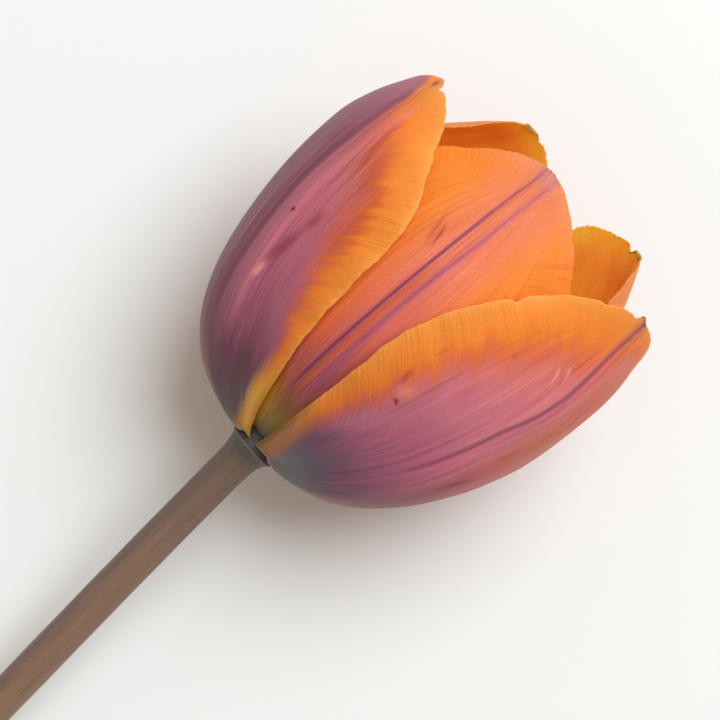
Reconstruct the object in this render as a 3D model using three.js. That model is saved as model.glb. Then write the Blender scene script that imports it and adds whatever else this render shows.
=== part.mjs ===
import * as THREE from 'three';

// A cut tulip lying on its side, in millimetres. +X runs from the cut end of the stem to the tips
// of the tepals, +Z is up, and the floor is at Z = 0. A bearing is the angle round the flower's own
// axis, in degrees, from straight up (0) towards +Y (90).

const HEAD_BASE = new THREE.Vector3(11.03, -0.19, 23.5);   // where the stem meets the flower
const HEAD_TILT = 7;              // how far the flower points upwards
const FLOOR_SOFTNESS = 0.9;       // how gently the belly turns up from the floor

const WIDEST_AT = 48;             // along the axis
const CUP_SQUASH = 0.92;          // height of the cup against its width
const LEFT_BLUNTNESS = 2.95;
const RIGHT_BLUNTNESS = 2.45;
const TOP_BLUNTNESS = 1.6;
const UNDER_BLUNTNESS = 2.4;

const TEPAL_THICKNESS = 0.8;
const TEPAL_ROWS = 20;
const TEPAL_COLUMNS = 12;
const OUTER_RING = { inset: 0, clawRadius: 4.5, rise: 0 };
const INNER_RING = { inset: 1.7, clawRadius: 5.3, rise: 1.9 };

// Each margin is [half width in degrees, where it starts to narrow, power, roundness]: the first
// is on the side of the smaller bearing. bend is where the tepal starts to lean in towards its tip,
// and pinch draws its margins in there.
const TEPALS = {
  outer_tepal_left: {
    ring: OUTER_RING, bearing: 63, drift: 4, length: 65.6, widest: 34.1, bend: 48, tipRadius: 28.8,
    pinch: 1.0, margins: [[45, 46, 1.25, 0.44], [50, 40, 1.3, 0.5]],
  },
  outer_tepal_right: {
    ring: OUTER_RING, bearing: -52.5, drift: 0, length: 67, widest: 33.7, bend: 48, tipRadius: 32.6,
    pinch: 1.8, margins: [[48, 36, 1.6, 0.5], [50, 32, 1.6, 0.5]],
  },
  outer_tepal_under: {
    ring: OUTER_RING, bearing: 185, drift: 0, length: 63, widest: 33.3, bend: 48, tipRadius: 28.5,
    pinch: 0.5, margins: [[50, 34, 1.5, 0.5], [50, 34, 1.5, 0.5]],
  },
  inner_tepal_top: {
    ring: INNER_RING, bearing: 6, drift: 0, length: 71.6, widest: 33, bend: 48, tipRadius: 26,
    pinch: 1.0, margins: [[50, 44, 1.7, 0.55], [47, 40, 1.6, 0.58]],
  },
  inner_tepal_left: {
    ring: INNER_RING, bearing: 127, drift: 3, length: 72.2, widest: 32, bend: 34, tipRadius: 15,
    pinch: 0.6, margins: [[47, 58, 3, 0.36], [50, 58, 3, 0.42]],
  },
  inner_tepal_right: {
    ring: INNER_RING, bearing: -112, drift: -3, length: 72.3, widest: 32, bend: 34, tipRadius: 20.3,
    pinch: 0.6, margins: [[50, 60, 3, 0.5], [47, 58, 3, 0.42]],
  },
};

const STEM_LENGTH = 93;           // along the floor, from the flower's base to the cut
const STEM_RADIUS = 3.25;
const STEM_FLARE = 1.8;           // how much wider it is under the flower
const STEM_DROOP = 0.00105;
const STEM_SIDES = 24;
const SEAT_RADIUS = 3.9;          // the receptacle that everything grows from
const SEAT_TOP = 4.0;
const CUT_SLANT = 0.35;           // how far the cut leans, as a share of its radius

const GAP = 0.3;
const PISTIL = [[4.3, 1.8], [5.6, 2.2], [8, 2.75], [12, 3.2], [18, 3.2], [23, 2.8], [26, 2.5],
  [27.6, 3.3], [29.2, 4.1], [30.2, 3.7], [30.8, 2.2]];
const STAMENS = { count: 6, from: 3.15, to: 6.6, top: 16, antherLength: 13, antherLean: 1.2 };

const AXIS = new THREE.Vector3(Math.cos(rad(HEAD_TILT)), 0, Math.sin(rad(HEAD_TILT)));
const UP = new THREE.Vector3(-Math.sin(rad(HEAD_TILT)), 0, Math.cos(rad(HEAD_TILT)));
const LEFT = new THREE.Vector3(0, 1, 0);

function rad(degrees) {
  return degrees * Math.PI / 180;
}

function smooth(low, high, x) {
  const share = Math.min(Math.max((x - low) / (high - low), 0), 1);
  return share * share * (3 - 2 * share);
}

function inFlower(along, out, bearing, squash = 1) {
  return HEAD_BASE.clone().addScaledVector(AXIS, along)
    .addScaledVector(UP, out * squash * Math.cos(rad(bearing)))
    .addScaledVector(LEFT, out * Math.sin(rad(bearing)));
}

// What would sink through a level lies flat on it.
function settle(point, level) {
  const height = point.z - level;
  if (height > FLOOR_SOFTNESS) return point;
  const pressed = height < -FLOOR_SOFTNESS ? 0 : (height + FLOOR_SOFTNESS) ** 2 / (4 * FLOOR_SOFTNESS);
  return new THREE.Vector3(point.x, point.y, level + pressed);
}

// The cup is bluntest at its sides, where the flower is widest, and leaner on top.
function bluntness(bearing) {
  const side = smooth(0.6, 1, Math.abs(Math.sin(rad(bearing))));
  const most = (bearing + 360) % 360 < 180 ? LEFT_BLUNTNESS : RIGHT_BLUNTNESS;
  const blunt = TOP_BLUNTNESS + (most - TOP_BLUNTNESS) * side;
  return Math.cos(rad(bearing)) < 0 ? Math.max(blunt, UNDER_BLUNTNESS) : blunt;
}

function pastWidest(tepal, along) {
  return Math.max(0, along - tepal.bend) / (tepal.length - tepal.bend);
}

function cupRadius(tepal, along, blunt) {
  const share = Math.min(along / WIDEST_AT, 1);
  const fall = (tepal.widest - tepal.tipRadius) * pastWidest(tepal, along) ** 2;
  return tepal.widest * (1 - (1 - share) ** 2) ** (1 / blunt) - fall;
}

// Places along the axis that divide one column of a tepal, closer together at both of its ends.
function stations(tepal, blunt) {
  const fine = 1500;
  const path = [];
  let length = 0;
  for (let k = 0; k <= fine; k++) {
    const along = tepal.length * (k / fine) ** 2.4;
    const out = cupRadius(tepal, along, blunt);
    if (out < tepal.ring.clawRadius) continue;
    const last = path[path.length - 1];
    if (last) length += Math.hypot(along - last.along, out - last.out);
    path.push({ along, out, length });
  }
  const result = [];
  for (let i = 0; i <= TEPAL_ROWS; i++) {
    const wanted = length * (1 - Math.cos(Math.PI * i / TEPAL_ROWS)) / 2;
    result.push(path.find((p) => p.length >= wanted - 1e-9).along);
  }
  return result;
}

function halfWidth(tepal, along, side) {
  const [widest, start, power, roundness] = tepal.margins[side];
  const share = Math.max(0, (along - start) / (tepal.length - start));
  return widest * Math.max(0, 1 - share ** power) ** roundness;
}

// The outer face of a tepal as rows of points from its claw to its tip.
function tepalGrid(tepal) {
  const rows = Array.from({ length: TEPAL_ROWS + 1 }, () => []);
  for (let j = 0; j <= TEPAL_COLUMNS; j++) {
    const across = 2 * j / TEPAL_COLUMNS - 1;
    const side = across < 0 ? 0 : 1;
    const blunt = bluntness(tepal.bearing + across * tepal.margins[side][0]);
    stations(tepal, blunt).forEach((along, i) => {
      const past = pastWidest(tepal, along) ** 2;
      const turn = across * halfWidth(tepal, along, side);
      const out = cupRadius(tepal, along, blunt) - tepal.pinch * past * (turn / 25) ** 2;
      rows[i].push(inFlower(along, out, tepal.bearing + turn + tepal.drift * past, CUP_SQUASH));
    });
  }
  return rows;
}

function gridNormal(rows, i, j) {
  const row = Math.min(i, rows.length - 2);
  const before = rows[Math.max(row - 1, 0)][j];
  const after = rows[row + 1][j];
  const left = rows[row][Math.max(j - 1, 0)];
  const right = rows[row][Math.min(j + 1, rows[row].length - 1)];
  return after.clone().sub(before).cross(right.clone().sub(left)).normalize();
}

function inwards(rows, distance) {
  const middle = (rows[0].length - 1) / 2;
  return rows.map((row, i) => row.map((point, j) => {
    const normal = gridNormal(rows, i, i === rows.length - 1 ? middle : j);
    return point.clone().addScaledVector(normal, -distance);
  }));
}

// A closed sheet between two faces of equal grids whose last rows are each one point.
function sheet(outer, inner) {
  const count = outer.length - 1;
  const columns = outer[0].length;
  const faceSize = count * columns + 1;
  const id = (face, i, j) => face * faceSize + (i === count ? count * columns : i * columns + j);
  const points = [outer, inner].flatMap((rows) => [...rows.slice(0, count).flat(), rows[count][0]]);
  const triangles = [];
  const quad = (a, b, c, d) => triangles.push([a, b, c], [a, c, d]);
  for (let i = 0; i < count; i++) {
    for (let j = 0; j + 1 < columns; j++) {
      quad(id(0, i, j), id(0, i + 1, j), id(0, i + 1, j + 1), id(0, i, j + 1));
      quad(id(1, i, j), id(1, i, j + 1), id(1, i + 1, j + 1), id(1, i + 1, j));
    }
    const last = columns - 1;
    quad(id(0, i + 1, 0), id(0, i, 0), id(1, i, 0), id(1, i + 1, 0));
    quad(id(0, i, last), id(0, i + 1, last), id(1, i + 1, last), id(1, i, last));
  }
  for (let j = 0; j + 1 < columns; j++) {
    quad(id(0, 0, j), id(0, 0, j + 1), id(1, 0, j + 1), id(1, 0, j));
  }
  return solid(points, triangles);
}

// A closed tube through rings of points, capped with a fan at each end.
function tube(rings) {
  const sides = rings[0].length;
  const centre = (ring) => ring.reduce((sum, p) => sum.add(p), new THREE.Vector3()).divideScalar(sides);
  const points = [...rings.flat(), centre(rings[0]), centre(rings[rings.length - 1])];
  const triangles = [];
  for (let j = 0; j < sides; j++) {
    const next = (j + 1) % sides;
    for (let i = 0; i + 1 < rings.length; i++) {
      const [a, b] = [i * sides + j, i * sides + next];
      triangles.push([a, b, b + sides], [a, b + sides, a + sides]);
    }
    const end = (rings.length - 1) * sides;
    triangles.push([points.length - 2, next, j], [points.length - 1, end + j, end + next]);
  }
  return solid(points, triangles);
}

function solid(points, triangles) {
  const geometry = new THREE.BufferGeometry().setFromPoints(points);
  geometry.setIndex(triangles.filter(([a, b, c]) => a !== b && b !== c && c !== a).flat());
  return geometry;
}

function tepalSolid(tepal) {
  const { inset, rise } = tepal.ring;
  const outer = inwards(tepalGrid(tepal), inset).map((row) => row.map((point) => settle(point, rise)));
  return sheet(outer, inwards(outer, TEPAL_THICKNESS));
}

function ringAround(centre, direction, sides, radiusAt) {
  const across = new THREE.Vector3().crossVectors(UP, direction).normalize();
  const above = new THREE.Vector3().crossVectors(direction, across);
  return Array.from({ length: sides }, (_, k) => {
    const angle = 2 * Math.PI * k / sides;
    const radius = radiusAt(angle);
    return centre.clone().addScaledVector(across, radius * Math.cos(angle))
      .addScaledVector(above, radius * Math.sin(angle));
  });
}

// The stem's middle at a distance back from the flower, measured along the floor.
function stemCentre(back) {
  const sideways = 0.093 * back ** 2 / (back + 4) + 0.0001 * back ** 2;
  const drop = Math.tan(rad(HEAD_TILT)) * back + STEM_DROOP * back ** 2;
  return HEAD_BASE.clone().add(new THREE.Vector3(-back, -sideways, -drop));
}

function stemRing(back) {
  const direction = stemCentre(back - 0.1).sub(stemCentre(back + 0.1)).normalize();
  const slant = back === STEM_LENGTH ? CUT_SLANT : 0;
  const radius = STEM_RADIUS + STEM_FLARE * Math.exp(-back / 1.5);
  return ringAround(stemCentre(back), direction, STEM_SIDES, () => radius)
    .map((point) => point.addScaledVector(direction, slant * (point.y - stemCentre(back).y)))
    .map((point) => (point.z < 0 ? point.setZ(0) : point));
}

function seatRing(along, radius) {
  return ringAround(inFlower(along, 0, 0), AXIS, STEM_SIDES, () => radius);
}

function stemSolid() {
  const backs = [STEM_LENGTH, 91, 84, 76, 68, 60, 50, 40, 30, 20, 12, 7, 4, 2.4, 1.4, 0.8, 0.35];
  const seat = [[-0.3, SEAT_RADIUS], [SEAT_TOP - 0.5, SEAT_RADIUS], [SEAT_TOP, SEAT_RADIUS - 0.3]];
  return tube([...backs.map(stemRing), ...seat.map(([along, radius]) => seatRing(along, radius))]);
}

function pistilSolid() {
  return tube(PISTIL.map(([along, radius]) => {
    const lobe = along > 27 ? 0.2 : 0.1;
    return ringAround(inFlower(along, 0, 0), AXIS, 24, (angle) => radius * (1 + lobe * Math.cos(3 * angle)));
  }));
}

function stamen(k) {
  const bearing = 6 + 60 * k;
  const foot = inFlower(SEAT_TOP + GAP, STAMENS.from, bearing);
  const top = inFlower(STAMENS.top, STAMENS.to, bearing);
  const start = inFlower(STAMENS.top + GAP, STAMENS.to + 0.05, bearing);
  const end = inFlower(STAMENS.top + STAMENS.antherLength, STAMENS.to + STAMENS.antherLean, bearing);
  const filament = rod(foot, top, [[0, 0.55], [0.15, 0.75], [0.6, 0.6], [1, 0.35]]);
  const anther = rod(start, end, [[0, 0.5], [0.06, 1.15], [0.5, 1.4], [0.92, 1.0], [1, 0.45]]);
  return { filament, anther };
}

function rod(from, to, profile) {
  const direction = to.clone().sub(from).normalize();
  return tube(profile.map(([share, radius]) => (
    ringAround(from.clone().lerp(to, share), direction, 12, () => radius))));
}

function named(name, geometry, color, roughness) {
  const mesh = new THREE.Mesh(geometry, new THREE.MeshStandardMaterial({ color, roughness, metalness: 0 }));
  mesh.name = name;
  return mesh;
}

function buildTulip() {
  const tulip = new THREE.Group();
  tulip.name = 'tulip_flower';
  tulip.add(named('stem', stemSolid(), 0x6b4b35, 0.6));
  for (const [name, tepal] of Object.entries(TEPALS)) {
    const color = tepal.ring === OUTER_RING ? 0xa85a6a : 0xe07a2e;
    tulip.add(named(name, tepalSolid(tepal), color, 0.55));
  }
  tulip.add(named('pistil', pistilSolid(), 0x9aa35a, 0.5));
  for (let k = 0; k < STAMENS.count; k++) {
    const { filament, anther } = stamen(k);
    tulip.add(named(`filament_${k + 1}`, filament, 0xc9b45a, 0.55));
    tulip.add(named(`anther_${k + 1}`, anther, 0x3a2233, 0.9));
  }
  return tulip;
}

export default buildTulip();
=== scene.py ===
import math

import bpy
import numpy as np
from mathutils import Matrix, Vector


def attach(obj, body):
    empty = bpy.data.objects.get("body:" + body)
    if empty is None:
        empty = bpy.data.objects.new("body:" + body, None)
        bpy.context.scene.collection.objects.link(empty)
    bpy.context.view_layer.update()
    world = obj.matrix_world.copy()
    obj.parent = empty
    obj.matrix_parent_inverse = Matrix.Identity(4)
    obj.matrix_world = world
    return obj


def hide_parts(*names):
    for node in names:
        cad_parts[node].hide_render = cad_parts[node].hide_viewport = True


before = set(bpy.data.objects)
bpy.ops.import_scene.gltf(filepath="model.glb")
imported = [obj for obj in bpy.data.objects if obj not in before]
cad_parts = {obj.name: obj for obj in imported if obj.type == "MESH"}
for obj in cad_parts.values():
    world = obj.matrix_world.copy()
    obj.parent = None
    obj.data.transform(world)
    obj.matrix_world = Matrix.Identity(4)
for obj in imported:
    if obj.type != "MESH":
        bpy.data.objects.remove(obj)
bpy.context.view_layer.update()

# Lengths are millimetres until a mesh is made. +X runs from the cut stem to the tips of the tepals
# and +Z is up. A bearing is the angle round the flower's axis from straight up (0) towards +Y (90).
MM = 0.001
HEAD_BASE = np.array([11.03, -0.19, 23.5])
HEAD_TILT = math.radians(7)
FLOOR_SOFTNESS = 0.9
WIDEST_AT = 48.0
CUP_SQUASH = 0.92
LEFT_BLUNTNESS, RIGHT_BLUNTNESS, TOP_BLUNTNESS, UNDER_BLUNTNESS = 2.95, 2.45, 1.6, 2.4
AXIS = np.array([math.cos(HEAD_TILT), 0, math.sin(HEAD_TILT)])
UP = np.array([-math.sin(HEAD_TILT), 0, math.cos(HEAD_TILT)])
LEFT = np.array([0.0, 1, 0])

# A tepal's face is a grid of points. Its rows run across it and crowd together towards the tip.
ROWS, COLUMNS = 200, 112
MIDDLE = COLUMNS // 2
TIP_CROWDING = 1.5
EDGE_THICKNESS, MIDDLE_THICKNESS = 0.26, 0.6
RIM_BULGE = 0.1

# The two faces of a tepal are baked side by side in a square sheet this many millimetres wide.
BAKE_SHEET, BAKE_MIDDLE, BAKE_FOOT, BAKE_RIM = 128.0, 32.0, 4.0, 0.4

STEM_LENGTH, STEM_RADIUS, STEM_FLARE, STEM_DROOP = 93.0, 3.25, 1.5, 0.00105
SEAT_RADIUS, SEAT_TOP, CUT_SLANT = 3.9, 4.0, 0.35
STEM_SIDES, PISTIL_SIDES, FILAMENT_SIDES, ANTHER_SIDES = 72, 72, 24, 36
CUT_MARK = 10.0  # added to the length written on the points of the cut face

# Radii of the inner parts: the pistil's by mm along the flower's axis, the others' by share of length.
PISTIL_PROFILE = ((4.3, 1.8), (5.6, 2.2), (8, 2.75), (12, 3.2), (18, 3.2), (23, 2.8), (26, 2.5),
                  (27.6, 3.3), (29.2, 4.1), (30.2, 3.7), (30.8, 2.2))
FILAMENT_PROFILE = ((0, 0.55), (0.15, 0.75), (0.6, 0.6), (1, 0.35))
ANTHER_PROFILE = ((0, 0.4), (0.03, 0.9), (0.1, 1.2), (0.5, 1.4), (0.92, 1.0), (1, 0.4))

OUTER = {"inset": 0.0, "claw": 4.5, "rise": 0.0, "tuck": 0.7}
INNER = {"inset": 1.7, "claw": 5.3, "rise": 1.9, "tuck": 0.0}

# margins: [half width in degrees, where it starts to narrow, power, roundness], the first on the
# side of the smaller bearing. notches: (mm along the margin from the tip, minus on the first side,
# width, depth), where a negative depth stands out. rib: (along, across) places of the rib.
# ridges: (mm across from the rib, width, height, from and to along).
TEPALS = {
    "outer_tepal_left": dict(
        ring=OUTER, bearing=63, drift=4, length=65.6, widest=34.1, bend=48, tip=28.8, pinch=1.0,
        margins=((45, 46, 1.25, 0.44), (50, 40, 1.3, 0.5)), seed=11, glow=0.3, wave=0.45, fringe=0.0,
        notches=((-3.0, 0.7, 1.0), (0.3, 1.5, -0.5), (-17.5, 2.5, 0.7), (-24, 3.5, 0.6), (-33, 4, 0.5)),
        rib=((0, -2), (10, -3.2), (30, -4), (50, -4.8), (62, -5.6), (74, -4), (80, -1)),
        ridges=((-1.2, 1.5, 0.45, 10, 78), (2.6, 1.6, -0.3, 12, 76), (-5.5, 2.0, -0.3, 22, 74),
                (7.5, 2.4, 0.25, 15, 70)),
    ),
    "outer_tepal_right": dict(
        ring=OUTER, bearing=-52.5, drift=0, length=66, widest=33.7, bend=48, tip=32.6, pinch=1.8,
        margins=((48, 36, 1.6, 0.5), (50, 32, 1.6, 0.5)), seed=12, glow=0.3, wave=0.3, fringe=0.0,
        notches=((0.2, 1.0, -0.9), (1.9, 0.7, 0.4), (8.5, 1.2, 0.4), (24.5, 0.6, 0.6), (-14, 3, 0.4)),
        rib=((0, 1.2), (27, 2.1), (34, 1.9), (44, 1.4), (48, 1.2), (55, -0.6), (60, -1.3), (80, -1.0)),
        ridges=((0.0, 0.9, -0.35, 22, 80), (1.8, 1.3, 0.25, 20, 78), (-2.4, 1.6, 0.22, 20, 78),
                (-6.8, 1.4, -0.3, 26, 50)),
    ),
    "outer_tepal_under": dict(
        ring=OUTER, bearing=185, drift=0, length=63, widest=33.3, bend=48, tip=28.5, pinch=0.5,
        margins=((50, 34, 1.5, 0.5), (50, 34, 1.5, 0.5)), seed=13, glow=0.3, wave=0.4, fringe=0.0,
        notches=((0.0, 1.0, -0.7), (-9, 1.5, 0.5), (14, 2, 0.5)),
        rib=((0, 0), (80, 0)), ridges=((0, 1.6, 0.3, 10, 70),),
    ),
    "inner_tepal_top": dict(
        ring=INNER, bearing=6, drift=0, length=71.6, widest=33, bend=48, tip=26, pinch=1.0,
        margins=((50, 44, 1.7, 0.55), (47, 40, 1.6, 0.58)), seed=14, glow=0.3, wave=0.3, fringe=0.0,
        notches=((-12, 1.2, 0.35), (-19, 1.6, 0.4), (15, 3, 0.4)),
        rib=((0, 0.5), (20, 0.5), (60, -0.3), (80, -0.1)),
        ridges=((-0.1, 0.7, 0.16, 8, 84), (1.15, 0.5, -0.22, 8, 82), (-1.25, 0.6, -0.22, 8, 82)),
    ),
    "inner_tepal_left": dict(
        ring=INNER, bearing=127, drift=3, length=72.2, widest=32, bend=34, tip=15, pinch=0.6,
        margins=((47, 58, 3, 0.36), (50, 58, 3, 0.42)), seed=15, glow=0.75, wave=0.4, fringe=0.28,
        notches=((-5, 0.8, 0.5), (-9, 0.9, 0.4), (3.5, 0.8, 0.4)),
        rib=((0, 0), (80, 0)), ridges=((0, 2.0, -0.3, 8, 80),),
    ),
    "inner_tepal_right": dict(
        ring=INNER, bearing=-112, drift=-3, length=72.3, widest=32, bend=34, tip=20.3, pinch=0.6,
        margins=((50, 60, 3, 0.5), (47, 58, 3, 0.42)), seed=16, glow=0.75, wave=0.45, fringe=0.28,
        notches=((-2.4, 0.7, 1.1), (5.0, 0.8, 0.5), (9.0, 0.8, 0.4)),
        rib=((0, 0), (80, 0)), ridges=((0, 2.0, -0.3, 8, 80), (-6, 2.5, 0.5, 40, 84)),
    ),
}


def smooth(low, high, x):
    """0 below low and 1 above high, or the other way round where low is the greater."""
    share = np.clip((x - low) / (high - low), 0, 1)
    return share * share * (3 - 2 * share)


def waves(seed, *coordinates, count=6):
    """Gentle deterministic noise between about -1 and 1 that varies over about one unit."""
    rng = np.random.default_rng(seed)
    total = 0
    for _ in range(count):
        turn = sum(rng.normal(0, 2.2) * c for c in coordinates)
        total = total + np.sin(turn + rng.uniform(0, 2 * math.pi))
    return total / math.sqrt(2 * count)


def unit(vectors):
    return vectors / np.maximum(np.linalg.norm(vectors, axis=-1, keepdims=True), 1e-9)


def in_flower(along, out, bearing, squash=1.0):
    """The point at a place along the flower's axis, out from it and round it."""
    along, out, bearing = (np.asarray(v, float)[..., None] for v in (along, out, bearing))
    angle = np.radians(bearing)
    return HEAD_BASE + along * AXIS + out * (squash * np.cos(angle) * UP + np.sin(angle) * LEFT)


def settle(points, level):
    """Presses what is below a level gently onto it."""
    height = points[..., 2] - level
    bend = (height + FLOOR_SOFTNESS) ** 2 / (4 * FLOOR_SOFTNESS)
    pressed = np.where(height < -FLOOR_SOFTNESS, 0, bend)
    result = points.copy()
    result[..., 2] = level + np.where(height > FLOOR_SOFTNESS, height, pressed)
    return result


# ---------------------------------------------------------------- the shape of a tepal

def bluntness(bearing):
    """How suddenly the cup swells out from the stem on this side of the flower."""
    side = smooth(0.6, 1, abs(math.sin(math.radians(bearing))))
    most = LEFT_BLUNTNESS if bearing % 360 < 180 else RIGHT_BLUNTNESS
    blunt = TOP_BLUNTNESS + (most - TOP_BLUNTNESS) * side
    return max(blunt, UNDER_BLUNTNESS) if math.cos(math.radians(bearing)) < 0 else blunt


def past_widest(tepal, along):
    return np.maximum(0, along - tepal["bend"]) / (tepal["length"] - tepal["bend"])


def cup_radius(tepal, along, blunt):
    share = np.minimum(along / WIDEST_AT, 1)
    fall = (tepal["widest"] - tepal["tip"]) * past_widest(tepal, along) ** 2
    return tepal["widest"] * (1 - (1 - share) ** 2) ** (1 / blunt) - fall


def half_width(tepal, along, side):
    widest, start, power, roundness = tepal["margins"][side]
    share = np.maximum(0, (along - start) / (tepal["length"] - start))
    return widest * np.maximum(0, 1 - share ** power) ** roundness


def normals_of(grid):
    normal = np.cross(np.gradient(grid, axis=0), np.gradient(grid, axis=1))
    normal[-1] = normal[-2].mean(axis=0)
    return unit(normal)


def bare_grid(tepal):
    """The plain outer face as rows of points from the claw to the tip."""
    shares = 1 - (1 - np.linspace(0, 1, ROWS + 1)) ** TIP_CROWDING
    fine = tepal["length"] * np.linspace(0, 1, 3000) ** 2.4
    grid = np.zeros((ROWS + 1, COLUMNS + 1, 3))
    for j, across in enumerate(np.linspace(-1, 1, COLUMNS + 1)):
        side = 0 if across < 0 else 1
        blunt = bluntness(tepal["bearing"] + across * tepal["margins"][side][0])
        radius = cup_radius(tepal, fine, blunt)
        first = np.argmax(radius >= tepal["ring"]["claw"])
        steps = np.hypot(np.diff(fine[first:]), np.diff(radius[first:]))
        lengths = np.concatenate([[0], np.cumsum(steps)])
        along = np.interp(shares * lengths[-1], lengths, fine[first:])
        past = past_widest(tepal, along) ** 2
        turn = across * half_width(tepal, along, side)
        out = cup_radius(tepal, along, blunt) - tepal["pinch"] * past * (turn / 25) ** 2
        grid[:, j] = in_flower(along, out, tepal["bearing"] + turn + tepal["drift"] * past, CUP_SQUASH)
    return grid - tepal["ring"]["inset"] * normals_of(grid)


def places(grid, tepal):
    """For each point of a face: mm across from the rib, and mm along it."""
    steps = np.linalg.norm(np.diff(grid, axis=1), axis=-1)
    across = np.concatenate([np.zeros((len(grid), 1)), np.cumsum(steps, axis=1)], axis=1)
    rib = np.linalg.norm(np.diff(grid[:, MIDDLE], axis=0), axis=-1)
    along = np.concatenate([[0], np.cumsum(rib)])
    across -= (across[:, MIDDLE] + np.interp(along, *zip(*tepal["rib"])))[:, None]
    return across, np.repeat(along[:, None], grid.shape[1], axis=1)


def near_margin(grid):
    """For each point: mm in from the margin, mm of margin from the tip to there, and the way out."""
    line = np.concatenate([grid[:, 0], grid[-2::-1, -1]])
    normal = normals_of(grid)
    tangent = unit(np.gradient(line, axis=0))
    outward = unit(np.cross(tangent, np.concatenate([normal[:, 0], normal[-2::-1, -1]])))
    travelled = np.concatenate([[0], np.cumsum(np.linalg.norm(np.diff(line, axis=0), axis=-1))])
    travelled -= travelled[ROWS]
    edge, where = np.zeros(grid.shape[:2]), np.zeros(grid.shape[:2])
    for i, row in enumerate(grid):
        apart = row[:, None] - line[None]
        nearest = np.argmin((apart ** 2).sum(-1), axis=1)
        gap = apart[np.arange(len(row)), nearest]
        slide = (gap * tangent[nearest]).sum(-1)
        edge[i] = np.linalg.norm(gap - slide[:, None] * tangent[nearest], axis=-1)
        where[i] = travelled[nearest] + slide
    way = np.stack([np.interp(where, travelled, outward[:, k]) for k in range(3)], axis=-1)
    return edge, where, unit(way)


def trim_margins(grid, tepal):
    """Cuts the notches and the fine unevenness into the margin."""
    edge, where, way = near_margin(grid)
    seed, back = tepal["seed"] * 10, np.abs(where)
    cut = 0.09 * waves(seed, where / 1.5) + 0.22 * tepal["wave"] * (1 + waves(seed + 5, where / 5))
    cut += tepal["fringe"] * np.abs(waves(seed + 7, where / 0.9)) * smooth(32, 20, back)
    cut *= smooth(75, 55, back) * smooth(0.5, 4, back)
    for at, width, depth in tepal["notches"]:
        cut += depth * np.exp(-((where - at) / width) ** 2)
    return grid - way * (cut * np.exp(-(edge / 3.0) ** 2))[..., None]


def relief(tepal, across, along, edge):
    """How far the sheet stands out from the plain cup."""
    seed = tepal["seed"]
    near_tip = smooth(1, 10, along[-1, MIDDLE] - along)
    height = 0.22 * waves(seed, across / 9, along / 16)
    near = np.exp(-edge / 4.0) * near_tip
    height += tepal["wave"] * near * waves(seed + 1, along / 6.5, across / 20)
    height += 0.06 * near * waves(seed + 2, along / 1.3, across / 6)
    height -= tepal["ring"]["tuck"] * np.exp(-edge / 5.0) * smooth(4, 20, along) * near_tip
    for centre, width, rise, start, end in tepal["ridges"]:
        fade = smooth(start, start + 12, along) * smooth(end, end - 12, along)
        height += rise * fade * np.exp(-((across - centre) / width) ** 2)
    return height * smooth(0, 6, along)


# ---------------------------------------------------------------- meshes

class Shell:
    """Collects the points, faces and bake coordinates of one closed piece."""

    def __init__(self):
        self.points, self.values, self.faces, self.corners = [], [], [], []
        self.count = 0

    def add_points(self, points, *values):
        """Takes an array of points and the vectors each carries, and gives their numbers."""
        shape = points.shape[:-1]
        self.points.append(points.reshape(-1, 3))
        self.values.append([np.broadcast_to(v, points.shape).reshape(-1, 3) for v in values])
        numbers = self.count + np.arange(len(self.points[-1]))
        self.count += len(numbers)
        return numbers.reshape(shape)

    def add_faces(self, numbers, u, v, flip=False):
        """Joins a grid of points into faces. A row or column that is one point closes as a fan."""
        uv = np.stack(np.broadcast_arrays(u, v), axis=-1)
        corners = [(0, 0), (1, 0), (1, 1), (0, 1)]
        if flip:
            corners.reverse()
        rows, columns = numbers.shape[0] - 1, numbers.shape[1] - 1
        quads = np.stack([numbers[a:a + rows, b:b + columns] for a, b in corners], axis=-1).reshape(-1, 4)
        places = np.stack([uv[a:a + rows, b:b + columns] for a, b in corners], axis=-2).reshape(-1, 4, 2)
        for quad, place in zip(quads.tolist(), places.tolist()):
            kept = [k for k in range(4) if quad[k] != quad[k - 1]]
            if len(kept) > 2:
                self.faces.append([quad[k] for k in kept])
                self.corners.extend(place[k] for k in kept)

    def make(self, name, labels):
        mesh = bpy.data.meshes.new(name)
        mesh.from_pydata((np.concatenate(self.points) * MM).tolist(), [], self.faces)
        for k, label in enumerate(labels):
            values = np.concatenate([v[k] for v in self.values]).astype(np.float32)
            mesh.attributes.new(label, "FLOAT_VECTOR", "POINT").data.foreach_set("vector", values.ravel())
        if self.corners:
            layer = mesh.uv_layers.new(name="OFBake")
            layer.data.foreach_set("uv", np.asarray(self.corners, np.float32).ravel())
        mesh.shade_smooth()
        mesh.update()
        piece = bpy.data.objects.new(name, mesh)
        bpy.context.collection.objects.link(piece)
        return piece


def finish_piece(piece, node, material):
    piece.data.materials.append(material)
    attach(piece, "root")
    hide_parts(node)


def bake_place(across, along, face):
    """Where a place on a tepal goes in its bake sheet, from 0 to 1. The inner face goes beside the outer."""
    return (BAKE_MIDDLE + across + BAKE_SHEET / 2 * face) / BAKE_SHEET, (along + BAKE_FOOT) / BAKE_SHEET


def add_face(shell, points, place, veins, face):
    """Adds one face of a tepal, whose last row is a single point at the tip."""
    rows = shell.add_points(points[:ROWS], place[:ROWS], veins[:ROWS])
    tip = shell.add_points(points[ROWS, MIDDLE:MIDDLE + 1], place[ROWS, MIDDLE], veins[ROWS, MIDDLE])
    numbers = np.concatenate([rows, np.broadcast_to(tip, (1, COLUMNS + 1))])
    shell.add_faces(numbers, *bake_place(place[..., 0], place[..., 1], face), flip=face > 0)
    return numbers


def beside(line, normal):
    """The way out from each point of a closed line, square to the line and to the normal."""
    return unit(np.cross(np.roll(line, -1, axis=0) - np.roll(line, 1, axis=0), normal))


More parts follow.
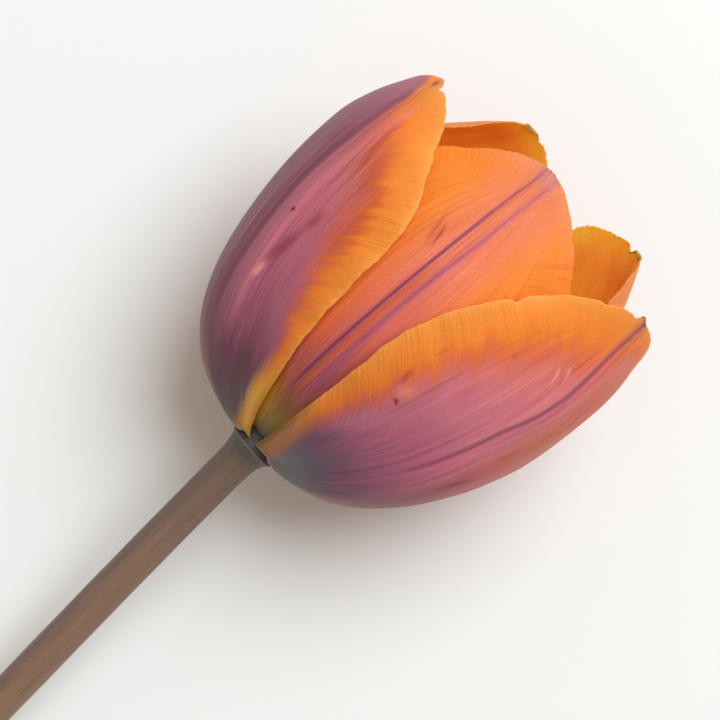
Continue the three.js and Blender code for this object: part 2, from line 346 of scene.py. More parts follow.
def closed(line):
    return np.concatenate([line, line[:, :1]], axis=1)


def add_rim(shell, numbers, faces, place, veins):
    """Joins the two faces by a third line of points, a little outside both."""
    loop = [(i, 0) for i in range(ROWS + 1)] + [(i, COLUMNS) for i in range(ROWS - 1, -1, -1)]
    loop += [(0, j) for j in range(COLUMNS - 1, 0, -1)]
    i, j = np.array(loop).T
    top, under = (points[i, j] for points in faces)
    out = beside(top, top - under)
    rim = shell.add_points((top + under) / 2 + RIM_BULGE * out, place[i, j], veins[i, j])
    flat = place[i, j] * (1, 1, 0)
    flat = closed(np.stack([flat, flat + BAKE_RIM * beside(flat, (0, 0, -1.0))]))
    for face in (0, 1):
        line = closed(np.stack([numbers[face][i, j], rim]))
        shell.add_faces(line, *bake_place(flat[..., 0], flat[..., 1], face), flip=face > 0)


def build_tepal(name, tepal, material):
    bare = bare_grid(tepal)
    normal = normals_of(bare)
    grid = trim_margins(bare, tepal)
    across, along = places(grid, tepal)
    edge, _, _ = near_margin(grid)
    grid = grid + relief(tepal, across, along, edge)[..., None] * normal
    outer = settle(grid, tepal["ring"]["rise"])
    thickness = EDGE_THICKNESS + (MIDDLE_THICKNESS - EDGE_THICKNESS) * smooth(0, 6, edge)
    inner = outer - thickness[..., None] * normal

    # Each point carries its place on the tepal, and where it lies among two sets of veins.
    place = np.stack([across, along, edge], axis=-1)
    parallel = np.broadcast_to(np.linspace(-27, 27, COLUMNS + 1), across.shape)
    feather = 14.5 * np.log(np.abs(across) + 1.5) - along

    def veins(face):
        return np.stack([parallel, feather, np.full_like(along, face)], axis=-1)

    shell = Shell()
    faces = (outer, inner)
    numbers = [add_face(shell, faces[face], place, veins(face), face) for face in (0, 1)]
    add_rim(shell, numbers, faces, place, veins(0.5))
    piece = shell.make(name + "_skin", ("place", "veins"))
    finish_piece(piece, name, material)


def build_tube(node, rings, material):
    """A closed tube. Each ring is its points, and the vectors that the material finds on them."""
    points, vectors = (np.array(part) for part in zip(*rings))
    shell = Shell()
    numbers = shell.add_points(points, vectors)
    ends = [shell.add_points(points[k].mean(axis=0)[None], vectors[k].mean(axis=0)) for k in (0, -1)]
    numbers = closed(numbers)
    sides = numbers.shape[1]
    first, last = (np.broadcast_to(end, (1, sides)) for end in ends)
    numbers = np.concatenate([first, numbers, last])
    u = np.linspace(0.02, 0.98, sides)
    v = np.linspace(0.02, 0.98, len(numbers))[:, None]
    shell.add_faces(numbers, u, v, flip=True)
    finish_piece(shell.make(node + "_skin", ("round",)), node, material)


def angles(sides):
    return np.arange(sides) * 2 * math.pi / sides


def round_vectors(sides, radius, length):
    """What the points of a ring carry: two places across the tube, and one along it."""
    angle = angles(sides)
    return np.stack([radius * np.cos(angle), radius * np.sin(angle), np.full(sides, float(length))], axis=-1)


def ring_around(centre, direction, sides, radius):
    across = unit(np.cross(UP, direction))
    above = np.cross(direction, across)
    angle = angles(sides)
    radius = np.broadcast_to(radius, angle.shape)[:, None]
    return centre + radius * (np.cos(angle)[:, None] * across + np.sin(angle)[:, None] * above)


def stem_centre(back):
    sideways = 0.093 * back ** 2 / (back + 4) + 0.0001 * back ** 2
    drop = math.tan(HEAD_TILT) * back + STEM_DROOP * back ** 2
    return HEAD_BASE + np.array([-back, -sideways, -drop])


def stem_ring(back):
    """The stem's surface this far back from the flower, slanted near the cut and laid on the floor."""
    centre = stem_centre(back)
    direction = unit(stem_centre(back - 0.1) - stem_centre(back + 0.1))
    angle = angles(STEM_SIDES)
    ribs = 0.05 * np.cos(7 * angle + 0.02 * back) + 0.03 * np.cos(13 * angle + 1)
    ribs = ribs + 0.04 * waves(31, np.cos(angle) * 1.5, np.sin(angle) * 1.5, back / 9)
    radius = STEM_RADIUS + STEM_FLARE * math.exp(-back / 1.5) + ribs * smooth(0, 3, back)
    ring = ring_around(centre, direction, STEM_SIDES, radius)
    slant = CUT_SLANT * smooth(STEM_LENGTH - 3, STEM_LENGTH, back)
    ring = ring + slant * (ring[:, 1:2] - centre[1]) * direction
    ring[:, 2] = np.maximum(ring[:, 2], 0)
    return ring


def build_stem(material):
    """From the middle of the cut face along the stem to the seat that holds the tepals."""
    radius = 3.0
    end = stem_ring(STEM_LENGTH)
    middle = end.mean(axis=0)
    rings = []
    for share in (0.2, 0.4, 0.6, 0.8, 0.93, 0.985):
        cut = middle + share * (end - middle) + 0.25 * (1 - share) * AXIS
        rings.append((cut, round_vectors(STEM_SIDES, radius * share, STEM_LENGTH + CUT_MARK)))
    for back in np.concatenate([np.linspace(STEM_LENGTH, 8, 140), np.linspace(7.6, 0.15, 40)]):
        rings.append((stem_ring(back), round_vectors(STEM_SIDES, radius, back)))
    seat = ((0.1, 4.25), (0.4, SEAT_RADIUS), (SEAT_TOP - 0.5, SEAT_RADIUS), (SEAT_TOP, SEAT_RADIUS - 0.3),
            (SEAT_TOP, 2.0))
    for along, seat_radius in seat:
        ring = ring_around(in_flower(along, 0, 0), AXIS, STEM_SIDES, seat_radius)
        rings.append((ring, round_vectors(STEM_SIDES, radius, -along)))
    build_tube("stem", rings, material)


def build_pistil(material):
    """A three-sided ovary with a frilled three-lobed stigma on top."""
    angle = angles(PISTIL_SIDES)
    rings = []
    for along in np.concatenate([np.linspace(4.3, 26, 70), np.linspace(26.2, 30.8, 40)]):
        head = smooth(26, 27.5, along)
        lobes = (0.1 + 0.1 * head) * np.cos(3 * angle) - 0.05 * head * np.abs(np.sin(1.5 * angle)) ** 8
        frill = 0.05 * head * waves(41, np.cos(angle) * 4, np.sin(angle) * 4, along / 0.8)
        radius = np.interp(along, *zip(*PISTIL_PROFILE)) * (1 + lobes + frill)
        lift = -0.5 * smooth(30.2, 30.8, along)
        ring = ring_around(in_flower(along + lift, 0, 0), AXIS, PISTIL_SIDES, radius)
        rings.append((ring, round_vectors(PISTIL_SIDES, radius, along)))
    build_tube("pistil", rings, material)


def build_rod(slot, k, low, high, profile, sides, material):
    """A filament or an anther: a slightly bowed rod. An anther has a groove along each side."""
    direction = unit(high - low)
    angle = angles(sides)
    rings = []
    for share in np.linspace(0, 1, 60):
        radius = np.interp(share, *zip(*profile)) * np.ones(sides)
        if slot == "anther":
            radius *= 1 - 0.16 * np.abs(np.cos(angle)) ** 6 + 0.03 * waves(50 + k, angle / 0.4, share * 14)
        bow = 0.25 * math.sin(math.pi * share) * waves(60 + k, share * 2)
        ring = ring_around(low + share * (high - low) + bow * LEFT, direction, sides, radius)
        rings.append((ring, round_vectors(sides, radius, share * 12 + 20 * k)))
    build_tube(f"{slot}_{k + 1}", rings, material)


def build_stamens(filament, anther):
    for k in range(6):
        bearing = 6 + 60 * k
        foot, top = in_flower(4.3, 3.15, bearing), in_flower(16, 6.6, bearing)
        start, end = in_flower(16.3, 6.65, bearing), in_flower(29, 7.8, bearing)
        build_rod("filament", k, foot, top, FILAMENT_PROFILE, FILAMENT_SIDES, filament)
        build_rod("anther", k, start, end, ANTHER_PROFILE, ANTHER_SIDES, anther)


# ---------------------------------------------------------------- materials

def linear(colour):
    """A colour given as 0 to 255 on a screen, as the light it stands for."""
    values = [c / 255 for c in colour]
    return [c / 12.92 if c <= 0.04045 else ((c + 0.055) / 1.055) ** 2.4 for c in values] + [1.0]


NOISE_SPREAD = 3.6


class Field:
    """A number or colour that varies over a surface, held as the output of a shader node."""

    def __init__(self, paint, output):
        self.paint, self.output = paint, output

    def math(self, operation, *values):
        return self.paint.node("ShaderNodeMath", (self, *values), operation=operation)

    def __add__(self, other):
        return self.math("ADD", other)

    def __sub__(self, other):
        return self.math("SUBTRACT", other)

    def __mul__(self, other):
        return self.math("MULTIPLY", other)

    def __truediv__(self, other):
        return self.math("DIVIDE", other)

    def __abs__(self):
        return self.math("ABSOLUTE")

    def smooth(self, low, high):
        """0 below low and 1 above high, or the other way round where low is the greater."""
        return self.paint.node("ShaderNodeMapRange", (self, low, high), interpolation_type="SMOOTHSTEP")

    def near(self, centre, width):
        """1 at the centre, falling to 0 at a width away on each side."""
        return abs(self - centre).smooth(width, 0.15 * width)


class Paint:
    """One material, built from nodes."""

    def __init__(self, name, **sockets):
        self.material = bpy.data.materials.new(name)
        self.material.use_nodes = True
        self.tree = self.material.node_tree
        self.shader = self.tree.nodes["Principled BSDF"]
        for label, value in sockets.items():
            self.plug(self.shader.inputs[label.replace("_", " ")], value)

    def plug(self, socket, value):
        if isinstance(value, Field):
            self.tree.links.new(value.output, socket)
        elif isinstance(value, tuple) and socket.type == "RGBA":
            socket.default_value = linear(value)
        else:
            socket.default_value = value

    def node(self, kind, values, output=0, **settings):
        made = self.tree.nodes.new(kind)
        for label, value in settings.items():
            setattr(made, label, value)
        for socket, value in zip(made.inputs, values):
            self.plug(socket, value)
        return Field(self, made.outputs[output])

    def parts(self, vector):
        split = self.node("ShaderNodeSeparateXYZ", (vector,)).output.node
        return [Field(self, part) for part in split.outputs]

    def attribute(self, name):
        return self.parts(self.node("ShaderNodeAttribute", (), "Vector", attribute_name=name))

    def noise(self, x, y, z=0.0, detail=2.0, roughness=0.5):
        """Noise between about -1 and 1."""
        place = self.node("ShaderNodeCombineXYZ", (x, y, z))
        made = self.node("ShaderNodeTexNoise", (place,))
        for label, value in (("Scale", 1.0), ("Detail", detail), ("Roughness", roughness)):
            made.output.node.inputs[label].default_value = value
        return (made - 0.5) * NOISE_SPREAD

    def flat(self, colour):
        made = self.node("ShaderNodeRGB", ())
        made.output.default_value = linear(colour)
        return made

    def mix(self, share, first, second):
        made = self.tree.nodes.new("ShaderNodeMix")
        made.data_type = "RGBA"
        sockets = {socket.identifier: socket for socket in made.inputs}
        for label, value in (("Factor_Float", share), ("A_Color", first), ("B_Color", second)):
            self.plug(sockets[label], value)
        return Field(self, next(o for o in made.outputs if o.identifier == "Result_Color"))

    def ramp(self, value, stops):
        """Colours at places along a field, blended in between."""
        first, last = stops[0][0], stops[-1][0]
        made = self.node("ShaderNodeValToRGB", ((value - first) / (last - first),))
        elements = made.output.node.color_ramp.elements
        while len(elements) < len(stops):
            elements.new(0.5)
        for element, (at, _) in zip(elements, stops):
            element.position = (at - first) / (last - first)
        for element, (_, colour) in zip(elements, stops):
            element.color = linear(colour)
        return made

    def shade(self, colour, amount):
        """The colour made brighter or darker by an amount that varies round 1."""
        made = self.node("ShaderNodeVectorMath", (colour,), operation="SCALE")
        self.plug(made.output.node.inputs["Scale"], amount)
        return made

    def finish(self, colour, roughness, height):
        """Plugs in the colour, the roughness and the relief, whose height is in millimetres."""
        self.plug(self.shader.inputs["Base Color"], colour)
        self.plug(self.shader.inputs["Roughness"], roughness)
        made = self.tree.nodes.new("ShaderNodeBump")
        for label, value in (("Distance", MM), ("Height", height)):
            self.plug(made.inputs[label], value)
        self.tree.links.new(made.outputs[0], self.shader.inputs["Normal"])
        return self.material

    def stroke(self, across, along, start, end, width, wobble=0.0):
        """A mark on the line between two places, fading out at both ends."""
        length = math.dist(start, end)
        dx, dy = (end[0] - start[0]) / length, (end[1] - start[1]) / length
        x, y = across - start[0], along - start[1]
        forward = x * dx + y * dy
        off = abs(y * dx - x * dy + wobble)
        ends = forward.smooth(0, 0.45 * length) * forward.smooth(length, 0.55 * length)
        return off.smooth(width, 0.0) * ends


def petal_fields(paint, seed):
    """The coordinates of a tepal and the noises that all its colours share."""
    across, along, edge = paint.attribute("place")
    parallel, feather, face = paint.attribute("veins")
    fields = dict(across=across, along=along, edge=edge, face=face)
    fields["fan"] = paint.noise(feather * 1.7, across * 0.10, seed, detail=3)
    fields["wide_fan"] = paint.noise(feather * 0.42, across * 0.05, seed + 3.1)
    fields["fibre"] = paint.noise(parallel * 1.6, along * 0.045, seed + 7.7, detail=3)
    fields["wide_fibre"] = paint.noise(parallel * 0.35, along * 0.03, seed + 9.2)
    fields["blotch"] = paint.noise(across * 0.16, along * 0.10, seed + 5.3)
    fields["grain"] = paint.noise(across * 4.5, along * 2.2, seed + 1.9, detail=2, roughness=0.7)
    return fields


INSIDE = ((0, (172, 168, 70)), (7, (218, 190, 72)), (14, (238, 182, 68)), (26, (246, 172, 70)),
          (50, (250, 168, 70)), (70, (250, 164, 70)), (84, (240, 146, 62)))
ORANGE = ((0, (238, 148, 70)), (0.12, (237, 138, 54)), (0.45, (234, 126, 46)), (0.8, (220, 106, 54)),
          (1.2, (206, 102, 88)))

# What an outer tepal's colours follow. far_side: which side of the rib lies in the flower's own shade.
# far_cut: how much narrower the orange band is there. opens: mm along where the band starts to widen.
# band: its width at the foot and at the tip. embers, halo: strength of the dark orange in the band and
# of the pale pink beyond it. foot: colours of the margin near the stem. body, far: colours by mm along,
# and far_from: mm across where far takes over. On the left and right tepals the far colours are partly
# the tepal's own tone and partly painted shade. lines: (mm across, width, strength, colour, from and to
# along). marks: (start, end, width, strength, colour), each place as (across, along).
LEFT_LOOK = dict(
    far_side=1.0, far_cut=0.93, opens=22, band=(2.7, 12.5), embers=0.85, halo=0.15, far_from=(2.2, 4.2),
    foot=((226, 172, 62), (190, 122, 18)),
    body=((0, (130, 116, 108)), (6, (112, 96, 96)), (12, (102, 78, 86)), (18, (110, 68, 84)),
          (25, (148, 84, 106)), (34, (168, 94, 116)), (46, (184, 100, 120)), (58, (190, 104, 116)),
          (68, (186, 94, 84)), (80, (206, 114, 96))),
    # far: the shaded side's greyish-lilac tone, with painted shade in it
    far=((0, (150, 130, 122)), (12, (144, 110, 112)), (20, (122, 84, 94)), (32, (126, 80, 98)),
         (50, (130, 76, 92)), (60, (140, 80, 98)), (72, (156, 90, 108)), (82, (166, 96, 110))),
    # The first line, dark at 3.4 mm, is painted shade at the edge of the shaded side. The second, pale pink
    # at -1.8 mm, is a painted highlight on the ridge.
    lines=((3.4, 1.5, 0.55, (108, 60, 78), 20, 78), (-1.8, 1.1, 0.35, (206, 122, 140), 22, 76),
           (1.2, 0.6, 0.4, (150, 78, 96), 26, 80), (6.8, 1.2, 0.35, (160, 112, 122), 8, 60),
           (-3.2, 0.5, 0.35, (148, 72, 84), 34, 72)),
    marks=(((-3.0, 35.5), (-6.2, 47), 1.3, 0.75, (134, 52, 62)),
           ((-5.6, 44), (-7.4, 52), 1.5, 0.6, (146, 56, 60)),
           ((-6.2, 53), (-2.0, 73), 0.9, 0.55, (160, 70, 60)),
           ((-4.2, 50), (-1.4, 70), 0.6, 0.5, (150, 74, 84)),
           ((-2.2, 32.5), (-3.4, 37.5), 0.7, 0.85, (222, 146, 134)),
           ((-1.5, 46.4), (-1.7, 47.9), 0.55, 1.0, (70, 22, 36)),
           ((1.2, 78.5), (0.6, 81), 1.1, 0.9, (112, 34, 40)),
           ((-9.0, 26), (-8.4, 40), 1.2, 0.25, (190, 118, 130)),
           ((-3.6, 24), (-5.4, 34), 0.8, 0.3, (122, 62, 82))),
)
RIGHT_LOOK = dict(
    far_side=-1.0, far_cut=0.75, opens=16, band=(2.8, 12.5), embers=0.25, halo=0.5, far_from=(-1.8, -7.5),
    foot=((160, 120, 76), (122, 86, 30)),
    body=((0, (130, 130, 126)), (6, (116, 118, 120)), (12, (106, 92, 110)), (18, (122, 80, 106)),
          (25, (154, 90, 118)), (33, (180, 98, 124)), (45, (204, 116, 132)), (57, (206, 114, 118)),
          (68, (212, 114, 104)), (80, (224, 136, 120))),
    # far: the lower side's orange-brown tone, with painted shade in it
    far=((0, (156, 134, 124)), (12, (150, 114, 116)), (21, (146, 96, 106)), (30, (156, 88, 100)),
         (42, (190, 98, 92)), (54, (202, 104, 80)), (66, (202, 104, 84)), (80, (222, 136, 116))),
    lines=((0.0, 0.75, 0.75, (136, 66, 96), 24, 90), (0.2, 2.0, 0.35, (160, 88, 112), 20, 82),
           (1.5, 0.5, 0.3, (224, 140, 148), 36, 70), (-1.5, 0.6, 0.3, (150, 72, 84), 40, 80),
           (-3.4, 0.5, 0.3, (150, 78, 86), 24, 62)),
    marks=(((-6.4, 30.5), (-9.2, 41), 0.7, 0.75, (122, 56, 76)),
           ((-6.0, 43), (-7.6, 50), 0.9, 0.35, (150, 62, 56)),
           ((14.0, 36.4), (16.0, 38.0), 0.5, 1.0, (118, 42, 48)),
           ((15.0, 37.6), (17.2, 42.2), 1.9, 0.7, (232, 132, 104)),
           ((17.4, 39.0), (20.4, 44.8), 0.7, 0.7, (178, 76, 56)),
           ((19.4, 47.6), (21.2, 51.2), 0.8, 0.5, (196, 90, 56)),
           ((13.6, 57.2), (14.6, 59.2), 0.6, 0.5, (190, 84, 60)),
           ((3.4, 60.2), (5.4, 64.6), 0.35, 0.7, (236, 160, 140)),
           ((5.0, 58.8), (7.2, 63.2), 0.35, 0.7, (236, 160, 140)),
           ((4.3, 60.4), (6.3, 63.2), 0.4, 0.5, (186, 84, 74)),
           ((0.2, 77.4), (0.0, 80.5), 1.3, 0.95, (108, 30, 40)),
           ((9.5, 42), (12.5, 52), 2.2, 0.3, (176, 82, 100)),
           ((8.0, 30), (10.0, 44), 3.0, 0.25, (164, 80, 108))),
)
UNDER_LOOK = dict(
    far_side=1.0, far_cut=0.4, opens=16, band=(2.8, 12), embers=0.4, halo=0.3, far_from=(9, 20),
    foot=((168, 124, 80), (134, 92, 34)), body=RIGHT_LOOK["body"], far=LEFT_LOOK["body"],
    lines=((0.0, 0.9, 0.6, (136, 66, 96), 20, 90), (2.2, 0.6, 0.3, (150, 78, 90), 20, 76),
           (-2.4, 0.6, 0.3, (150, 78, 90), 20, 76)),
    marks=(((0.3, 76), (0.0, 80), 1.3, 0.9, (108, 30, 40)),),
)
OUTER_LOOKS = {
    "outer_tepal_left": LEFT_LOOK,
    "outer_tepal_right": RIGHT_LOOK,
    "outer_tepal_under": UNDER_LOOK,
}


def inside_colour(paint, f):
    """The inner face: yellow at the foot, then orange with fine veins."""
    colour = paint.ramp(f["along"] + f["wide_fibre"] * 3.0, INSIDE)
    rib = abs(f["across"]).smooth(2.2, 0.2) * f["along"].smooth(6, 20)
    colour = paint.mix(rib * 0.3, colour, (226, 120, 44))
    margin = f["edge"].smooth(2.6, 0.2) * f["along"].smooth(20, 60)
    return paint.mix(margin * 0.4, colour, (232, 134, 56))


def band_and_body(paint, f, look):
    """The orange band along the margin, the purple body, and the pale halo between them."""
    across, along, edge = f["across"], f["along"], f["edge"]
    narrow, wide = look["band"]
    band = along.smooth(look["opens"], 62) * (wide - narrow) + narrow
    band = band * ((across * look["far_side"]).smooth(0, 5) * -look["far_cut"] + 1.0)
    uneven = f["wide_fan"] * 1.7 + f["fan"] * 1.3 + f["blotch"] * 1.0
    depth = (edge + uneven * along.smooth(10, 45) * edge.smooth(0, 5)) / band
    embers = depth.near(0.75, 0.4) * along.near(56, 16)
    rim = paint.mix(embers * look["embers"], paint.ramp(depth, ORANGE), (192, 84, 36))
    reach = along + f["wide_fibre"] * 2.6 + f["fibre"] * 1.2
    # The far side takes the far colours, which on the left and right tepals hold painted shade.
    start, full = look["far_from"]
    far = (across + f["wide_fibre"] * 0.7).smooth(start, full)
    body = paint.mix(far, paint.ramp(reach, look["body"]), paint.ramp(reach, look["far"]))
    colour = paint.mix(depth.smooth(0.45, 1.55), rim, body)
    halo = depth.near(1.6, 0.7) * reach.near(32, 14)
    return paint.mix(halo * look["halo"], colour, (204, 122, 140))


def add_streaks(paint, f, colour):
    """Light and dark fibres along the body, and orange grooves fanning out in the band."""
    along, edge = f["along"], f["edge"]
    pale = f["fibre"].smooth(0.1, 1.1) * along.smooth(8, 30) * edge.smooth(3, 12)
    colour = paint.mix(pale * 0.28, colour, (222, 140, 142))
    dark = f["fibre"].smooth(-0.1, -1.1) * edge.smooth(3, 12)
    colour = paint.mix(dark * 0.3, colour, (116, 56, 80))
    grooves = f["fan"].smooth(0.1, 1.1) * edge.smooth(14, 5) * along.smooth(20, 34)
    return paint.mix(grooves * 0.32, colour, (204, 86, 40))


def outer_colour(paint, f, look):
    """The outer face of an outer tepal: purple with an orange band along its margins."""
    across, along, edge = f["across"], f["along"], f["edge"]
    colour = add_streaks(paint, f, band_and_body(paint, f, look))
    foot = (along + f["fibre"] * 1.5).smooth(27, 12)
    strip = (edge + f["wide_fibre"] * 0.5).smooth(4.6, 1.6)
    colour = paint.mix(foot * strip * 0.9, colour, look["foot"][0])
    colour = paint.mix(foot * edge.smooth(1.3, 0.2) * 0.75, colour, look["foot"][1])
    wandering = across + f["wide_fibre"] * 0.25
    for at, width, strength, tint, low, high in look["lines"]:
        line = wandering.near(at, width) * along.smooth(low, low + 9) * along.smooth(high, high - 4)
        colour = paint.mix(line * strength, colour, tint)
    wobble = f["fibre"] * 0.35 + f["fan"] * 0.2
    for start, end, width, strength, tint in look["marks"]:
        mark = paint.stroke(across, along, start, end, width * 1.25, wobble)
        colour = paint.mix(mark * (f["fibre"] * 0.45 + 1.0) * strength, colour, tint)
    claw = (along + f["fibre"] * 0.8).smooth(1.6, 0.5)
    return paint.mix(claw * 0.6, colour, (196, 190, 176))


INNER_MIDDLE = ((0, (128, 134, 116)), (5, (136, 130, 84)), (9, (146, 126, 58)), (13, (142, 102, 46)),
                (17, (138, 84, 62)), (22, (138, 72, 78)), (28, (166, 84, 92)), (34, (202, 100, 92)),
                (43, (220, 112, 92)), (54, (226, 122, 94)), (64, (222, 118, 78)), (78, (220, 124, 80)))
INNER_SIDES = ((0, (214, 178, 80)), (9, (214, 156, 48)), (15, (184, 112, 48)), (22, (202, 102, 92)),
               (30, (226, 108, 62)), (42, (236, 116, 48)), (54, (238, 130, 40)), (64, (234, 128, 38)),
               (80, (230, 122, 46)))
VIOLET_LINES = ((1.1, 1.3, 0.35, (184, 92, 110)), (-1.35, 1.4, 0.5, (186, 96, 116)),
                (1.15, 0.5, 0.85, (122, 50, 88)), (-1.4, 0.5, 0.6, (150, 70, 108)))
INNER_MARKS = (((2.9, 53), (4.8, 59.5), 0.55, 0.75), ((4.0, 52.5), (6.2, 61), 0.8, 0.5))


def add_violet_lines(paint, f, colour):
    """Two violet lines beside the rib, and orange between them."""
    along = f["along"]
    across = f["across"] + f["wide_fibre"] * 0.22
    between = across.near(0.0, 1.0) * along.smooth(14, 24) * along.smooth(60, 44)
    colour = paint.mix(between * 0.75, colour, (196, 88, 46))
    for at, width, strength, tint in VIOLET_LINES:
        line = across.near(at, width) * along.smooth(10, 24) * (along.smooth(52, 84) * -0.5 + 1.0)
        colour = paint.mix(line * strength, colour, tint)
    return paint.mix(along.smooth(72, 78) * across.near(0, 2.6) * 0.5, colour, (196, 130, 150))


def inner_colour(paint, f):
    """The outer face of an inner tepal: orange, with its two violet lines."""
    across, along, edge = f["across"], f["along"], f["edge"]
    reach = along + f["wide_fibre"] * 2.0 + f["fibre"] * 1.0
    spread = along.smooth(4, 60) * 5.0 + 2.4
    away = (abs(across + 0.8) + f["wide_fan"] * 0.8 + f["fan"] * 0.5) / spread
    colour = paint.mix(away.smooth(0.3, 1.4), paint.ramp(reach, INNER_MIDDLE), paint.ramp(reach, INNER_SIDES))
    flame = (f["wide_fan"] + f["fan"] * 0.6).smooth(0.1, 1.3) * along.smooth(40, 56) * away.smooth(0.4, 1.2)
    colour = paint.mix(flame * 0.45, colour, (206, 94, 48))
    colour = paint.mix(edge.smooth(3.6, 0.4) * along.smooth(66, 76) * 0.3, colour, (224, 140, 100))
    colour = add_violet_lines(paint, f, colour)
    colour = paint.mix(f["fibre"].smooth(0.1, 1.1) * 0.22, colour, (240, 150, 120))
    colour = paint.mix(f["fibre"].smooth(-0.1, -1.1) * 0.25, colour, (190, 84, 60))
    grooves = f["fan"].smooth(0.0, 1.0) * away.smooth(0.5, 1.4) * along.smooth(24, 40)
    colour = paint.mix(grooves * 0.3, colour, (214, 96, 38))
    for start, end, width, strength in INNER_MARKS:
        mark = paint.stroke(across, along, start, end, width, f["fibre"] * 0.3)
        colour = paint.mix(mark * strength, colour, (164, 62, 50))
    return colour


def tepal_material(name, tepal):
    """The more a tepal glows, the more light comes through to its inner face."""
    paint = Paint(name.replace("_", " "), Subsurface_Radius=(1.0, 0.42, 0.2), Specular_IOR_Level=0.16)
    f = petal_fields(paint, tepal["seed"] * 10.0)
    outside = outer_colour(paint, f, OUTER_LOOKS[name]) if name in OUTER_LOOKS else inner_colour(paint, f)
    colour = paint.mix(f["face"].smooth(0.35, 0.65), outside, inside_colour(paint, f))
    fan = f["fan"] * f["edge"].smooth(12, 3)
    lengthwise = f["fibre"] * f["edge"].smooth(2, 12)
    streaks = fan * 0.12 + lengthwise * 0.10 + f["grain"] * 0.10 + f["blotch"] * 0.035
    paint.plug(paint.shader.inputs["Subsurface Weight"], f["face"] * tepal["glow"] + 0.2)
    paint.plug(paint.shader.inputs["Subsurface Scale"], MM * (1.0 + 4.0 * tepal["glow"]))
    return paint.finish(paint.shade(colour, streaks + 1.0),
                        roughness=f["grain"] * 0.05 + f["fibre"] * 0.03 + 0.46,
                        height=fan * 0.05 + lengthwise * 0.05 + f["grain"] * 0.02)


STEM_COLOURS = ((0, (94, 86, 80)), (4, (106, 84, 70)), (12, (112, 88, 74)), (30, (124, 96, 80)),
                (56, (130, 102, 82)), (74, (144, 114, 82)), (93, (156, 124, 84)))
PISTIL_COLOURS = ((4, (196, 198, 120)), (12, (158, 176, 92)), (22, (150, 168, 92)), (26, (178, 184, 112)),
                  (28, (222, 212, 150)), (31, (238, 226, 170)))


def cut_colour(paint, x, y):
    """The cut end of the stem: pale pith with a ring of green vessels."""
    radius = (x * x + y * y).math("SQRT")
    pith = paint.mix(radius.smooth(2.75, 2.4), (146, 150, 88), (214, 214, 168))
    vessels = paint.noise(x * 2.2, y * 2.2, 3.0).smooth(0.5, 1.0) * radius.near(2.0, 0.9)
    return paint.mix(vessels * 0.7, pith, (128, 140, 78))


def stem_material():
    paint = Paint("stem", Subsurface_Weight=0.08, Subsurface_Scale=MM * 0.6,
                  Subsurface_Radius=(1.0, 0.5, 0.3))
    x, y, back = paint.attribute("round")
    fibre = paint.noise(x * 1.5, y * 1.5, back * 0.10, detail=4, roughness=0.65)
    wide = paint.noise(x * 0.5, y * 0.5, back * 0.04 + 5.0)
    grain = paint.noise(x * 6.0, y * 6.0, back * 2.4, detail=2, roughness=0.7)
    colour = paint.ramp(back + wide * 4.0, STEM_COLOURS)
    # Painted shade: the stem's +Y side is darkened towards a dull violet-brown.
    shaded_side = (x * 0.55 + wide * 0.9 + 0.2).smooth(0.4, 1.6)
    colour = paint.mix(shaded_side * 0.55, colour, (88, 68, 70))
    colour = paint.mix(fibre.smooth(0.1, 1.0) * 0.4, colour, (156, 108, 84))
    colour = paint.mix(fibre.smooth(-0.1, -1.0) * 0.55, colour, (80, 62, 52))
    colour = paint.mix(back.smooth(4, 0.3) * 0.7, colour, (74, 74, 70))
    scar = (back + fibre * 0.12).near(0.25, 0.35)
    colour = paint.mix(scar * 0.2, colour, (150, 144, 130))
    colour = paint.mix(back.smooth(STEM_LENGTH + 4, STEM_LENGTH + 6), colour, cut_colour(paint, x, y))
    return paint.finish(paint.shade(colour, fibre * 0.06 + grain * 0.09 + 1.0),
                        roughness=grain * 0.06 + fibre * 0.04 + 0.5, height=fibre * 0.05 + grain * 0.02)


def pistil_material():
    paint = Paint("pistil", Subsurface_Weight=0.2, Subsurface_Scale=MM, Subsurface_Radius=(0.9, 0.8, 0.3))
    x, y, along = paint.attribute("round")
    grain = paint.noise(x * 3.0, y * 3.0, along * 3.0, detail=3, roughness=0.65)
    streak = paint.noise(x * 1.4, y * 1.4, along * 0.12, detail=3)
    colour = paint.ramp(along + streak * 0.8, PISTIL_COLOURS)
    return paint.finish(paint.shade(colour, grain * 0.07 + streak * 0.05 + 1.0),
                        roughness=grain * 0.08 + along.smooth(26, 28) * 0.2 + 0.42,
                        height=grain * 0.05 * (along.smooth(26, 27.5) * 2.0 + 0.5) + streak * 0.03)


def filament_material():
    paint = Paint("filament", Subsurface_Weight=0.15, Subsurface_Scale=MM, Subsurface_Radius=(0.9, 0.7, 0.3))
    x, y, along = paint.attribute("round")
    streak = paint.noise(x * 3.0, y * 3.0, along * 0.4, detail=3)
    colour = paint.mix(streak.smooth(-0.6, 0.8), (186, 170, 84), (222, 208, 122))
    return paint.finish(colour, roughness=streak * 0.06 + 0.45, height=streak * 0.03)


def anther_material():
    paint = Paint("anther")
    x, y, along = paint.attribute("round")
    pollen = paint.noise(x * 7.0, y * 7.0, along * 7.0, detail=3, roughness=0.75)
    patch = paint.noise(x * 1.2, y * 1.2, along * 0.5)
    colour = paint.mix(pollen.smooth(0.1, 0.9), (54, 34, 46), (112, 84, 70))
    colour = paint.mix(patch.smooth(0.2, 1.0) * 0.5, colour, (136, 112, 70))
    return paint.finish(colour, roughness=pollen * 0.05 + 0.88, height=pollen * 0.08)


def paper_material():
    paint = Paint("pale paper")
    x, y, _ = paint.parts(paint.node("ShaderNodeTexCoord", (), "Object"))
    tooth = paint.noise(x * 900.0, y * 900.0, detail=2)
    colour = paint.shade(paint.flat((230, 230, 230)), tooth * 0.004 + 1.0)
    paint.plug(paint.shader.inputs["Base Color"], colour)
    paint.plug(paint.shader.inputs["Roughness"], tooth * 0.02 + 0.92)
    return paint.material


# ---------------------------------------------------------------- the stage

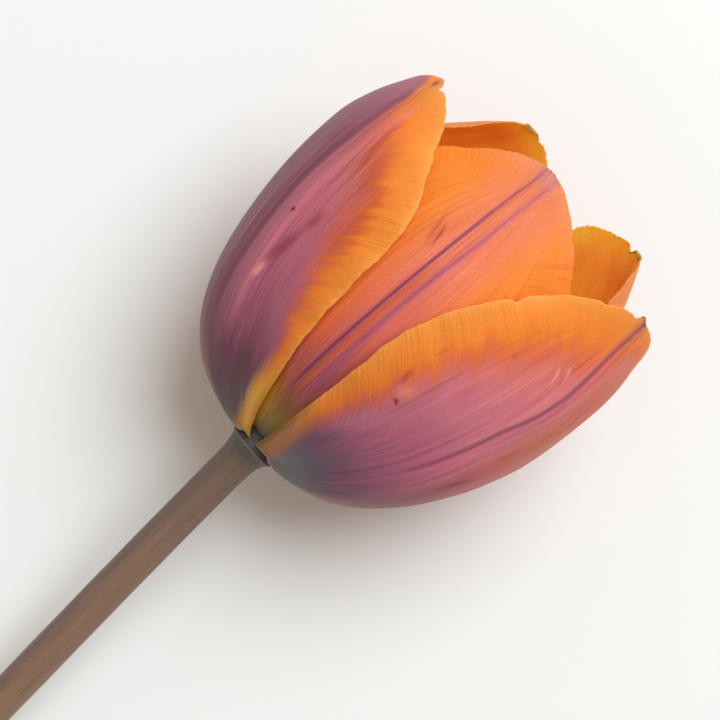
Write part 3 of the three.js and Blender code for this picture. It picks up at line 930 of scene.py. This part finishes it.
# The floor is in millimetres; the light and the camera are in metres.
FLOOR_HALF = 3000.0
SURROUNDINGS, SURROUNDINGS_STRENGTH = (1.0, 0.84, 0.72, 1), 0.52
KEY_PLACE, KEY_TARGET = Vector((0.69, 0, 1.03)), Vector((0.03, 0, 0.02))
KEY_SIZE, KEY_POWER, KEY_COLOUR = 0.9, 15.6, (0.84, 0.96, 1.0)
CAMERA_PLACE, CAMERA_TURN, CAMERA_LENS = (0.0345, -0.00075, 0.750), math.radians(-40), 211.8


def build_floor():
    corners = FLOOR_HALF * np.array([[[-1.0, -1, 0], [1, -1, 0]], [[-1, 1, 0], [1, 1, 0]]])
    shell = Shell()
    shell.add_faces(shell.add_points(corners), np.array([[0.0], [1]]), np.array([0.0, 1]), flip=True)
    floor = shell.make("floor", ())
    floor.data.materials.append(paper_material())


def build_lights():
    world = bpy.data.worlds.new("studio")
    world.use_nodes = True
    background = world.node_tree.nodes["Background"]
    background.inputs["Color"].default_value = SURROUNDINGS
    background.inputs["Strength"].default_value = SURROUNDINGS_STRENGTH
    bpy.context.scene.world = world
    light = bpy.data.lights.new("key", "AREA")
    light.shape, light.size, light.energy, light.color = "DISK", KEY_SIZE, KEY_POWER, KEY_COLOUR
    lamp = bpy.data.objects.new("key", light)
    lamp.location = KEY_PLACE
    lamp.rotation_euler = (KEY_TARGET - KEY_PLACE).to_track_quat("-Z", "Y").to_euler()
    bpy.context.collection.objects.link(lamp)
    bpy.context.scene.view_settings.view_transform = "Standard"


def build_camera():
    camera = bpy.data.cameras.new("camera")
    camera.lens, camera.sensor_width = CAMERA_LENS, 36
    holder = bpy.data.objects.new("camera", camera)
    holder.location = CAMERA_PLACE
    holder.rotation_euler = (0, 0, CAMERA_TURN)
    bpy.context.collection.objects.link(holder)
    bpy.context.scene.camera = holder


for name, tepal in TEPALS.items():
    build_tepal(name, tepal, tepal_material(name, tepal))
build_stem(stem_material())
build_pistil(pistil_material())
build_stamens(filament_material(), anther_material())
build_floor()
build_lights()
build_camera()
